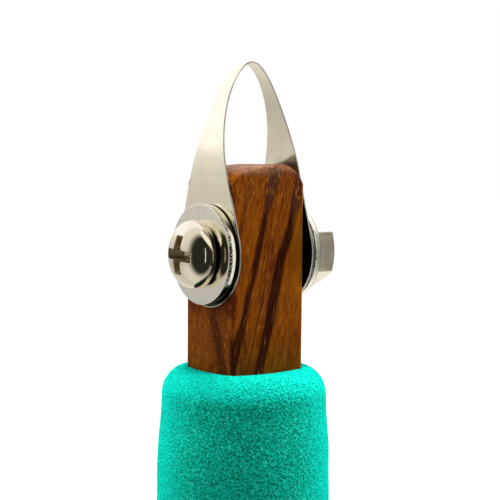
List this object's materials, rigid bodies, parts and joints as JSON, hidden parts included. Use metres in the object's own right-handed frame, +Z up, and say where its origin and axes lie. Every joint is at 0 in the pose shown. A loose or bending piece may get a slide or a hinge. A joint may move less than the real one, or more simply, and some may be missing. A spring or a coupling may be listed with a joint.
{
  "type": "fine point tool",
  "caption": "Clay trimming tool: a narrow pointed loop of thin steel strip, bolted through its round tabs to a wooden stick with a soft foam grip sleeve.",
  "frame": {"origin": "centre of the stick's flat butt end, at the bottom of the grip", "axes": "+Z up along the stick towards the loop's point, +X along the screw towards its nut, -Y the front"},
  "size_m": [0.0269, 0.0254, 0.1712],
  "materials": {
    "oiled_wood": "satin",
    "grip_foam": "matte",
    "spring_steel": "polished",
    "nickel_plate": "polished",
    "lock_steel": "satin"
  },
  "bodies": {
    "handle": {"handle_stick": "oiled_wood", "foam_grip": "grip_foam", "flat_washer_head_side": "nickel_plate", "flat_washer_nut_side": "nickel_plate", "lock_washer": "lock_steel"},
    "blade": {"blade_loop": "spring_steel"},
    "screw": {"machine_screw": "nickel_plate"},
    "nut": {"hex_nut": "nickel_plate"}
  },
  "joints": [
    {"name": "blade_tilt", "type": "hinge", "parent": "handle", "child": "blade", "pos_m": [0, 0, 0.1437], "axis": [1, 0, 0], "range_deg": [-140, 140]},
    {"name": "screw_turn", "type": "hinge", "parent": "handle", "child": "screw", "pos_m": [0, 0, 0.1437], "axis": [-1, 0, 0], "range_deg": [0, 1440]},
    {"name": "nut_back_off", "type": "slide", "parent": "handle", "child": "nut", "axis": [1, 0, 0], "range_m": [0, 0.00423]}
  ],
  "couplings": [
    {"joint": "screw_turn", "follows": "nut_back_off", "rad_per_m": 5938.7}
  ]
}
